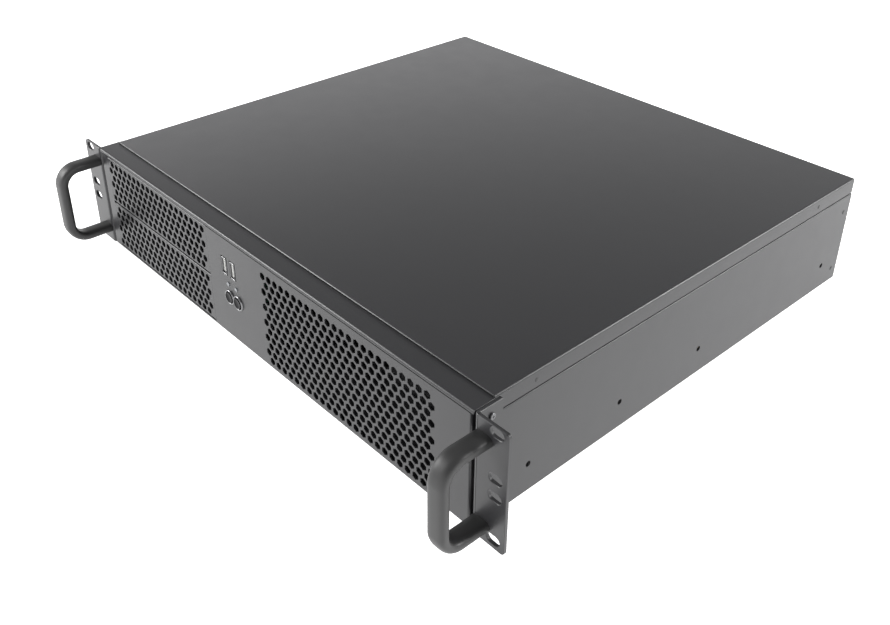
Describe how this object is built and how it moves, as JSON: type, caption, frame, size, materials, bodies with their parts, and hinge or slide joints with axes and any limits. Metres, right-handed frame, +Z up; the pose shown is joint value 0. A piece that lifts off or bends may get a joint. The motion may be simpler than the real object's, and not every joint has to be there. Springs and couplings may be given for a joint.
{
  "type": "empty rackmount server case",
  "caption": "Low rackmount server case in folded black sheet steel, with a perforated front, drive bay covers, front sockets and buttons, rack ears with handles and a sliding top cover.",
  "frame": {"origin": "middle of the tray's underside, half way between the side walls and between the front plate and the rear wall", "axes": "+X to the right seen from the front, +Y from the front to the rear, +Z up"},
  "size_m": [0.4826, 0.4379, 0.088],
  "materials": {
    "case_paint": "fine textured black powder coat",
    "handle_paint": "smooth semi-gloss black",
    "standoff_brass": "turned brass",
    "bright_steel": "plated steel",
    "board": "solder mask",
    "socket_plastic": "moulded black",
    "button_plastic": "moulded black, glossy",
    "lamp_plastic": "clear moulded, unlit"
  },
  "bodies": {
    "case": {"base_pan": "case_paint", "front_brace": "case_paint", "front_panel": "case_paint", "bay_cover_lower": "case_paint", "bay_cover_upper": "case_paint", "ear_left": "case_paint", "ear_right": "case_paint", "handles": "handle_paint", "rear_panel": "case_paint", "slot_cover_1": "case_paint", "slot_cover_2": "case_paint", "slot_cover_3": "case_paint", "slot_cover_4": "case_paint", "drive_cage": "case_paint", "fan_bracket": "case_paint", "cross_beam": "case_paint", "standoffs": "standoff_brass", "power_shelf": "case_paint", "control_board": "board", "board_posts": "bright_steel", "usb_port_left": "bright_steel", "usb_port_right": "bright_steel", "usb_tongue_left": "socket_plastic", "usb_tongue_right": "socket_plastic", "lamps": "lamp_plastic", "switches": "socket_plastic"},
    "cover": {"top_cover": "case_paint", "cover_lugs": "case_paint"},
    "power_button": {"power_button": "button_plastic"},
    "reset_button": {"reset_button": "button_plastic"}
  },
  "joints": [
    {"name": "cover_slide", "type": "slide", "parent": "case", "child": "cover", "axis": [0, 1, 0], "range_m": [0, 0.02]},
    {"name": "power_button_press", "type": "slide", "parent": "case", "child": "power_button", "axis": [0, 1, 0], "range_m": [0, 0.001], "stiffness_N_per_m": 900},
    {"name": "reset_button_press", "type": "slide", "parent": "case", "child": "reset_button", "axis": [0, 1, 0], "range_m": [0, 0.001], "stiffness_N_per_m": 900}
  ]
}
